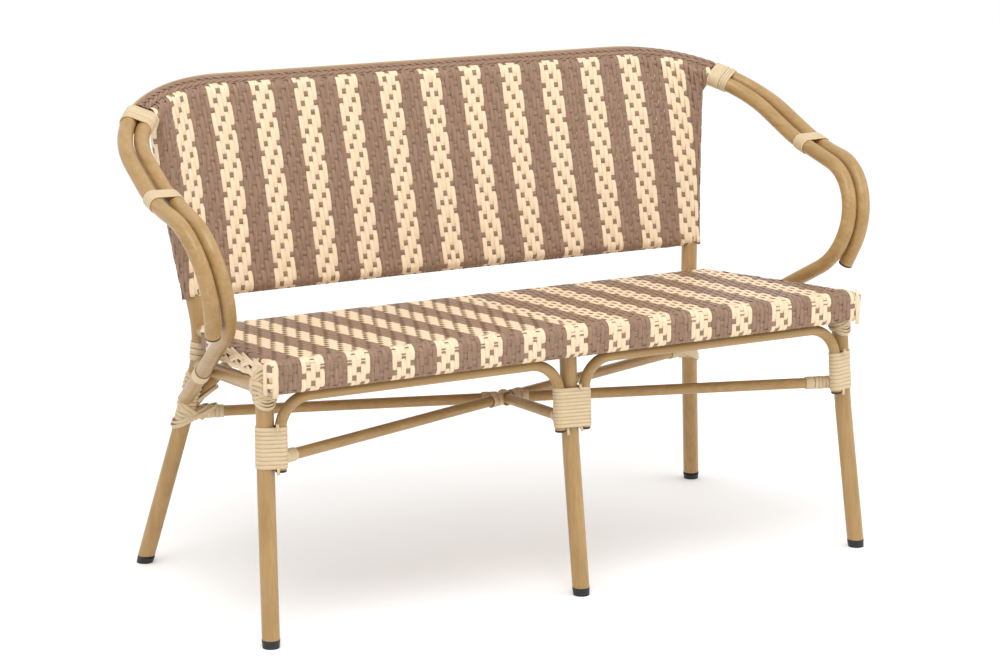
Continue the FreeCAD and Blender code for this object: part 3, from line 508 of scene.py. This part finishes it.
for k in range(row_count):
    j = np.repeat(seat_crossed, len(steps))
    place = np.tile(steps, len(seat_crossed))
    lift = wave(crosses_over(j, row_turn[k]), crosses_over(j - 1, row_turn[k]), place, SEAT_CROSS_LIFT)
    even = (j + place) * SEAT_STRAND + SEAT_SHIFT
    travel = seat_rows[k] + row_skew[k] * even
    spot, normal, keep = seat_point(even + seat_drift(even, travel), travel)
    cross_runs.append(((spot + normal * lift[:, None])[keep], normal[keep], False, SEAT_CROSS_WIDTH))
seat_cream = strands("seat_strands_cream", cream_runs, 1.2, cream)
seat_brown = strands("seat_strands_brown", brown_runs, 1.2, brown)
seat_cross = strands("seat_cross_strands", cross_runs, 1.1, olive)
for piece in (seat_cream, seat_brown, seat_cross):
    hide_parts("seat_weave")

# Plaited side edges of the seat: four cream strands, 33 mm tall, from the front corner to the post, over
# brown strands turned down round the seat's side. At the front a doubled cream strand stands in the
# corner, with short ties across it.
SIDES = (("left", -1.0), ("right", 1.0))
EDGE_HALF, EDGE_HEIGHT = 545.0, 425.5
EDGE_FRONT, EDGE_REAR, EDGE_CORNER_R, PLAIT_REAR = 16.0, 369.0, 29.0, 335.0
side_depth = np.linspace(EDGE_FRONT, EDGE_REAR, 150)
swing = np.linspace(0.0, math.pi / 2, 20)[1:]
edge_depth = np.concatenate([side_depth, EDGE_REAR + EDGE_CORNER_R * np.sin(swing)])
edge_x = EDGE_HALF - SEAT_TAPER * np.minimum(edge_depth, EDGE_REAR)
edge_x[len(side_depth):] -= EDGE_CORNER_R * (1 - np.cos(swing))
edge_line = np.stack([edge_x, edge_depth, EDGE_HEIGHT + slope * (edge_depth - FRONT_BAR[0])], axis=-1)
edge_along = unit(np.gradient(edge_line, axis=0))
edge_out = unit(np.cross(edge_along, [0.0, 0.0, 1.0]))
edge_across = np.cross(edge_along, edge_out)
plaited = slice(0, int((side_depth < PLAIT_REAR).sum()))
edge_runs = plait(
    edge_line[plaited], edge_out[plaited], edge_across[plaited],
    turn=236.0, spread=11.0, height=2.0, count=4, waves=3, width=10.3,
)

TURNED_STEP, TURNED_WIDTH, TURNED_BEHIND, TURNED_HALF = 8.1, 8.0, 3.0, 14.0
hang = np.array([[0.0, 0.0, TURNED_HALF], [0.0, 0.0, 0.0], [0.0, 0.0, -TURNED_HALF]])
edge_walk = walked(edge_line)
turned_down = []
for place in np.arange(0.0, edge_walk[-1], TURNED_STEP):
    near = np.argmin(np.abs(edge_walk - place))
    line = edge_line[near] - edge_out[near] * TURNED_BEHIND + hang
    turned_down.append((line, np.tile(edge_out[near], (3, 1)), False, TURNED_WIDTH))

COLUMN_FRONT, COLUMN_SIDE = np.array([540.0, -4.0]), np.array([549.5, 12.0])
COLUMN_TOP, COLUMN_ARCH, COLUMN_WIDTH = 437.0, 10.0, 9.5
FRONT_WAY, SIDE_WAY = np.array([0.25, -1.0, 0.0]), np.array([1.0, -0.25, 0.0])
TOP_WAY = np.array([0.0, 0.0, 1.2])
turned = np.linspace(0.0, math.pi, 13)
swung = COLUMN_FRONT + (COLUMN_SIDE - COLUMN_FRONT) * ((1 - np.cos(turned)) / 2)[:, None]
arch = np.column_stack([swung, COLUMN_TOP + COLUMN_ARCH * np.sin(turned)])
rising = [[*COLUMN_FRONT, 393.0], [*COLUMN_FRONT, 415.0]]
falling = [[*COLUMN_SIDE, 425.0], [*COLUMN_SIDE, 395.0]]
share = np.concatenate([[0.0, 0.0], turned / math.pi, [1.0, 1.0]])[:, None]
rise = np.concatenate([[0.0, 0.0], np.sin(turned), [0.0, 0.0]])[:, None]
column_out = unit(FRONT_WAY * (1 - share) + SIDE_WAY * share + TOP_WAY * rise)
edge_runs.append((np.concatenate([rising, arch, falling]), column_out, False, COLUMN_WIDTH))

TIE_AT, TIE_R = (541.5, 4.8), 8.0
around = np.linspace(0.0, math.pi / 2, 7)
tie_out = np.stack([np.sin(around), -np.cos(around), np.zeros(7)], axis=-1)
for height, width, runs in ((411.0, 8.0, edge_runs), (428.0, 9.0, edge_runs), (438.0, 9.0, turned_down)):
    runs.append((tie_out * TIE_R + np.array([*TIE_AT, height]), tie_out, False, width))

# Painted shade: a brown strip set deep behind the slots of the corner strand, a dark strand that stands in
# for the shade seen through them.
SLOT_SHADE_AT, SLOT_SHADE_WIDTH = (542.5, 3.8), 13.0
slot_shade_strip = np.array([[*SLOT_SHADE_AT, height] for height in (432.0, 416.0, 400.0)])
turned_down.append((slot_shade_strip, np.tile([0.707, -0.707, 0.0], (3, 1)), False, SLOT_SHADE_WIDTH))


def mirrored(runs, sign):
    """Runs made for the right of the bench, on the side that the sign names."""
    mirror = np.array([sign, 1.0, 1.0])
    return [(line * mirror, out * mirror, closed, width) for line, out, closed, width in runs]


for side, sign in SIDES:
    side_braid = strands("seat_plait_" + side, mirrored(edge_runs, sign), 1.9, cream)
    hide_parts("seat_braid_" + side)
    side_turn = strands("seat_side_strands_" + side, mirrored(turned_down, sign), 1.2, brown)
    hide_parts("seat_weave")

# Bindings: flat cream plastic cord, mostly 6 to 7 mm wide, wound turn on turn round the tubes that it
# ties. Each turn is a closed ring round the outline of its tubes, square to the run or leaning.
CORD_DARK = (0.560, 0.425, 0.250, 1.0)
CORD_LIGHT = (0.720, 0.565, 0.360, 1.0)
CORD_GRAIN = (4.0, 50.0, 1.0)
cord = fibrous("cord_cream", "UV", CORD_GRAIN, CORD_DARK, CORD_LIGHT, 0.5, 0.2)

RING_POINTS = 40
ASKEW = [0.31, 0.23, 0.92]
EVERY_OTHER = 0.25
TAIL_WIDTH, TAIL_BULGE = 5.0, 1.2


def ring(centre, axis, tubes, gap):
    """Closed line round tubes, each given as point, direction and radius, cut square to an axis."""
    axis = unit(np.array(axis, float))
    first = unit(np.cross(axis, ASKEW))
    second = np.cross(axis, first)
    angle = np.linspace(0.0, 2 * math.pi, RING_POINTS, endpoint=False)
    away = np.cos(angle)[:, None] * first + np.sin(angle)[:, None] * second
    best, line = np.full(RING_POINTS, -np.inf), np.zeros((RING_POINTS, 3))
    for point, heading, radius in tubes:
        heading = unit(np.array(heading, float))
        lean = heading @ axis
        middle = point + heading * ((centre - point) @ axis / lean)
        flat = heading / lean - axis
        stretch = (away @ flat)[:, None]
        rim = middle + (radius + gap) * (away + stretch * flat) / np.sqrt(1 + stretch ** 2)
        reach = np.sum((rim - centre) * away, axis=1)
        line = np.where((reach > best)[:, None], rim, line)
        best = np.maximum(reach, best)
    return line, away


def wind(start, end, tubes, turns, width, axis=None, gap=0.9):
    """Rings from start to end round tubes; without an axis they stand square to that run."""
    axis = end - start if axis is None else axis
    runs = []
    for turn in range(turns):
        share = (turn + 0.5) / turns
        line, away = ring(start + (end - start) * share, axis, tubes, gap + EVERY_OTHER * (turn % 2))
        runs.append((line, away, True, width))
    return runs


def span(point, way, first, last):
    """Two points on a line, at their distances from a point on it."""
    return point + way * first, point + way * last


def at_height(tube, height):
    """Point on a tube's axis at a height above the floor."""
    point, way = tube[:2]
    return point + way * (height - point[2]) / way[2]


def heights(tube, low, high):
    """Two points on a tube's axis, at their heights above the floor."""
    return at_height(tube, low), at_height(tube, high)


def tail(start, middle, end):
    """A short loose end of cord that lies flat to the front."""
    return np.array([start, middle, end]), np.tile([0.0, -1.0, 0.0], (3, 1)), False, TAIL_WIDTH


def tie(name, runs, sign, node, thick=1.8):
    """A binding on its side of the bench, in place of the plain band."""
    placed = mirrored(runs, sign)
    if sign < 0:
        placed = [(line[::-1], away[::-1], closed, width) for line, away, closed, width in placed]
    piece = strands(name, placed, thick, cord)
    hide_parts(node)


LEG_R, ARM_R, SLIM_R = 14.0, 12.5, 9.0
BINDING_LOW, BINDING_HIGH, ARCH_HEIGHT = 275.0, 339.5, 307.0
knee, leg_top = np.array([541.0, 34.5, 258.0]), np.array([536.0, 45.0, 424.0])
leg = (knee, leg_top - knee, LEG_R)
leg_up = unit(leg[1])
at_arch = at_height(leg, ARCH_HEIGHT)
arch_end = (at_arch + np.array([-20.2, -11.6, 0.0]), leg[1], SLIM_R)
rail_front, rail_run = np.array([537.0, 45.0, 399.0]), np.array([-57.0, 381.0, -47.0])
side_rail = (rail_front, rail_run, ARM_R)
rail_way = unit(rail_run)
crossing = np.array([0.0, 249.0, 276.0])
front_joint, rear_joint = np.array([540.2, 36.2, 285.0]), np.array([497.3, 446.2, 268.0])
front_way, rear_way = unit(crossing - front_joint), unit(crossing - rear_joint)
front_stretcher, rear_stretcher = (front_joint, front_way, SLIM_R), (rear_joint, rear_way, SLIM_R)
rear_leg = (np.array([549.5, 513.5, 0.0]), np.array([-79.5, -102.5, 408.0]), LEG_R)
rear_up = unit(rear_leg[1])
bend_low, bend_high = np.array([480.2, 424.1, 361.0]), np.array([478.2, 421.8, 392.0])
rear_bend = (bend_low, bend_high - bend_low, LEG_R)
low_arm = (np.array([599.0, -70.5, 580.5]), np.array([-100.5, 510.5, -287.5]), ARM_R)
strap_at, strap_way = np.array([524.3, 309.0, 366.8]), unit(low_arm[1])
rail_end, rail_end_way = np.array([552.5, 447.6, 753.6]), np.array([0.602, -0.724, -0.338])
rail_ends = [(rail_end, rail_end_way, ARM_R), (np.array([574.0, 458.4, 761.7]), rail_end_way, ARM_R)]
arm_middle, arm_way = np.array([595.4, 240.0, 663.0]), np.array([0.011, -0.966, -0.257])
arms = [(arm_middle, arm_way, ARM_R), (np.array([627.0, 240.0, 663.5]), arm_way, ARM_R)]
for side, sign in SIDES:
    # Front leg and arch end: ten turns, with a loose end below and above.
    turns = wind(*heights(leg, BINDING_LOW, BINDING_HIGH), [leg, arch_end], 10, 6.5)
    tail_x, tail_y, _ = arch_end[0] + np.array([9.5, -10.5, 0.0])
    for low, high in ((267.0, 279.0), (335.0, 347.0)):
        bulge = (tail_x, tail_y - TAIL_BULGE, (low + high) / 2)
        turns.append(tail((tail_x, tail_y, low), bulge, (tail_x, tail_y, high)))
    tie("leg_binding_cord_" + side, turns, sign, "leg_binding_" + side)

    # Top of the front leg: seven turns, with leaning turns across them and round the side rail.
    loops = wind(*heights(leg, 374.0, 421.0), [leg], 7, 7.0)
    for lean, gap in ((0.5, 3.0), (-0.5, 3.8)):
        leaning = leg_up + np.array([lean, 0.0, 0.0])
        loops += wind(*heights(leg, 383.0, 403.0), [leg], 3, 7.0, leaning, gap)
    for lean, first, last, gap in ((0.8, 3.0, 23.0, 1.6), (-0.8, -4.0, -20.0, 2.6)):
        leaning = leg_up + rail_way * lean
        loops += wind(*span(rail_front, leg_up, first, last), [leg, side_rail], 3, 7.4, leaning, gap)
    tie("leg_top_cord_" + side, loops, sign, "leg_top_wrap_" + side)

    # Front end of the stretcher: three broad turns on the left, five narrow and one broad on the right.
    if side == "left":
        ends = wind(*span(front_joint, front_way, 16.0, 64.0), [front_stretcher], 3, 16.5)
    else:
        ends = wind(*span(front_joint, front_way, 16.0, 48.0), [front_stretcher], 5, 6.4)
        ends += wind(*span(front_joint, front_way, 48.0, 64.0), [front_stretcher], 1, 15.5)
    tie("stretcher_front_cord_" + side, ends, sign, "stretcher_wrap_front_" + side)

    # Rear end of the stretcher: turns on the leg and on the stretcher, crossed over their joint, and a
    # short strip along the arm's end.
    ends = wind(*heights(rear_leg, 256.0, 300.0), [rear_leg], 6, 7.4)
    ends += wind(*span(rear_joint, rear_way, 14.0, 64.0), [rear_stretcher], 7, 7.2)
    joined = [rear_leg, rear_stretcher]
    for lean, first, last in ((0.7, 4.0, 20.0), (-0.7, -4.0, -18.0)):
        leaning = rear_up + rear_way * lean
        ends += wind(*span(rear_joint, rear_up, first, last), joined, 2, 7.2, leaning, 2.2)
    leaning = rear_up + np.array([-0.7, 0.0, 0.0])
    ends += wind(*heights(rear_leg, 300.0, 330.0), [rear_leg], 4, 7.4, leaning, 1.4)
    strip = np.array([[446.0, 425.5, 311.8], [463.0, 425.0, 302.3], [483.0, 425.5, 289.4]])
    ends.append((strip, np.tile([-0.3, -0.9, -0.3], (3, 1)), False, 8.0))
    tie("stretcher_rear_cord_" + side, ends, sign, "stretcher_wrap_rear_" + side)

    # Bend of the rear leg: three broad turns. Lower run of the arm: one broad strap.
    turns = wind(bend_low, bend_high, [rear_bend], 3, 9.8)
    tie("rear_leg_cord_" + side, turns, sign, "rear_leg_wrap_" + side)
    strap = wind(*span(strap_at, strap_way, -11.0, 19.0), [low_arm], 1, 30.0, gap=1.0)
    tie("arm_strap_cord_" + side, strap, sign, "arm_strap_" + side)

    # Rail ends: one broad band and three narrow turns round both tubes. Arms: five turns half way.
    bands = wind(*span(rail_end, rail_end_way, -19.0, 5.0), rail_ends, 1, 24.0, gap=1.6)
    bands += wind(*span(rail_end, rail_end_way, 5.0, 19.0), rail_ends, 3, 4.7, gap=1.2)
    tie("arm_joint_cord_" + side, bands, sign, "arm_joint_binding_" + side, 2.2)
    bands = wind(*span(arm_middle, arm_way, -13.5, 13.5), arms, 5, 5.5)
    tie("arm_middle_cord_" + side, bands, sign, "arm_middle_binding_" + side)

# Bindings on the bench's middle line, of the same cord: eleven turns round the centre leg and the two
# arch ends, four on the short stretcher, and broad strips on the four arms of the crossing.
on_middle = np.array([0.0, 1.0, 1.0])
center_leg = (knee * on_middle, leg[1] * on_middle, LEG_R)
both_arches = [
    (at_arch * on_middle + np.array([beside, -9.0, 0.0]), center_leg[1], SLIM_R) for beside in (-23.0, 23.0)
]
leaning = unit(center_leg[1]) + np.array([0.05, 0.0, 0.0])
around_all = [center_leg] + both_arches
turns = wind(*heights(center_leg, BINDING_LOW, BINDING_HIGH), around_all, 11, 5.9, leaning)
for beside, low, high in ((-12.0, 264.0, 279.0), (13.0, 268.0, 280.0), (11.0, 336.0, 346.0)):
    bulge = (beside - 1.0, 19.0, (low + high) / 2)
    turns.append(tail((beside, 18.0, low), bulge, (beside - 2.0, 20.0, high)))
tie("leg_binding_cord_center", turns, 1.0, "leg_binding_center")
center_joint = front_joint * on_middle
center_way = unit(crossing - center_joint)
turns = wind(*span(center_joint, center_way, 14.0, 44.0), [(center_joint, center_way, SLIM_R)], 4, 7.4)
tie("stretcher_center_cord", turns, 1.0, "stretcher_wrap_center")
to_left = np.array([-1.0, 1.0, 1.0])
strips = []
for far in (front_joint, front_joint * to_left, rear_joint, rear_joint * to_left):
    way = unit(far - crossing)
    strips += wind(*span(crossing, way, 13.0, 40.0), [(crossing, way, SLIM_R)], 2, 13.0, gap=1.2)
backwards = np.array([0.0, 1.0, 0.0])
strips += wind(*span(crossing, backwards, -9.0, 9.0), [(crossing, backwards, 11.0)], 2, 9.0)
tie("crossing_cord", strips, 1.0, "crossing_binding")

# Stage: a near-white floor, an even surround, one large soft key light and a fill. Floor and surround
# are a little brighter only where they are seen, so that the background is white without more light
# on the bench, and the floor keeps its shadow.
WHITE = (1.0, 1.0, 1.0, 1.0)
FLOOR_GLOW, SKY, SKY_GLOW = 0.09, 0.93, 0.07


def seen_rays(tree):
    """A socket that is 1 where the stage is seen: directly, in a reflection or through something clear."""
    path = tree.nodes.new("ShaderNodeLightPath")
    camera_or_glossy = tree.nodes.new("ShaderNodeMath")
    camera_or_glossy.operation = "ADD"
    tree.links.new(path.outputs["Is Camera Ray"], camera_or_glossy.inputs[0])
    tree.links.new(path.outputs["Is Glossy Ray"], camera_or_glossy.inputs[1])
    total = tree.nodes.new("ShaderNodeMath")
    total.operation = "ADD"
    total.use_clamp = True
    tree.links.new(camera_or_glossy.outputs["Value"], total.inputs[0])
    tree.links.new(path.outputs["Is Transmission Ray"], total.inputs[1])
    return total.outputs["Value"]


bpy.ops.mesh.primitive_plane_add(size=30.0, location=(0.0, 0.0, 0.0))
floor = bpy.context.object
floor.name = "floor"
floor_finish = bpy.data.materials.new("floor_pale")
floor_finish.use_nodes = True
floor_tree = floor_finish.node_tree
floor_surface = floor_tree.nodes["Principled BSDF"]
floor_surface.inputs["Base Color"].default_value = (0.97, 0.97, 0.97, 1.0)
floor_surface.inputs["Roughness"].default_value = 0.9
floor_surface.inputs["Emission Color"].default_value = WHITE
glow = floor_tree.nodes.new("ShaderNodeMath")
glow.operation = "MULTIPLY"
glow.inputs[1].default_value = FLOOR_GLOW
floor_tree.links.new(seen_rays(floor_tree), glow.inputs[0])
floor_tree.links.new(glow.outputs["Value"], floor_surface.inputs["Emission Strength"])
floor.data.materials.append(floor_finish)

scene = bpy.context.scene
world = bpy.data.worlds.new("surround")
world.use_nodes = True
background = world.node_tree.nodes["Background"]
background.inputs["Color"].default_value = WHITE
sky = world.node_tree.nodes.new("ShaderNodeMath")
sky.operation = "MULTIPLY_ADD"
sky.inputs[1].default_value = SKY_GLOW
sky.inputs[2].default_value = SKY
world.node_tree.links.new(seen_rays(world.node_tree), sky.inputs[0])
world.node_tree.links.new(sky.outputs["Value"], background.inputs["Strength"])
scene.world = world

key_turn = (math.radians(26.0), 0.0, math.radians(-38.2))
bpy.ops.object.light_add(type="AREA", location=(-1.1, -1.4, 4.1), rotation=key_turn)
key = bpy.context.object
key.name = "key_light"
key.data.size = 2.4
key.data.energy = 74.0
fill_turn = (math.radians(55.0), 0.0, math.radians(56.0))
bpy.ops.object.light_add(type="AREA", location=(3.0, -2.0, 2.4), rotation=fill_turn)
fill = bpy.context.object
fill.name = "fill_light"
fill.data.size = 3.0
fill.data.energy = 30.0

camera_turn = (math.radians(77.58), 0.0, math.radians(-29.37))
bpy.ops.object.camera_add(location=(-2.308, -4.1051, 1.420), rotation=camera_turn)
camera = bpy.context.object
camera.data.sensor_width = 36.0
camera.data.lens = 103.36
scene.camera = camera
scene.view_settings.view_transform = "Standard"
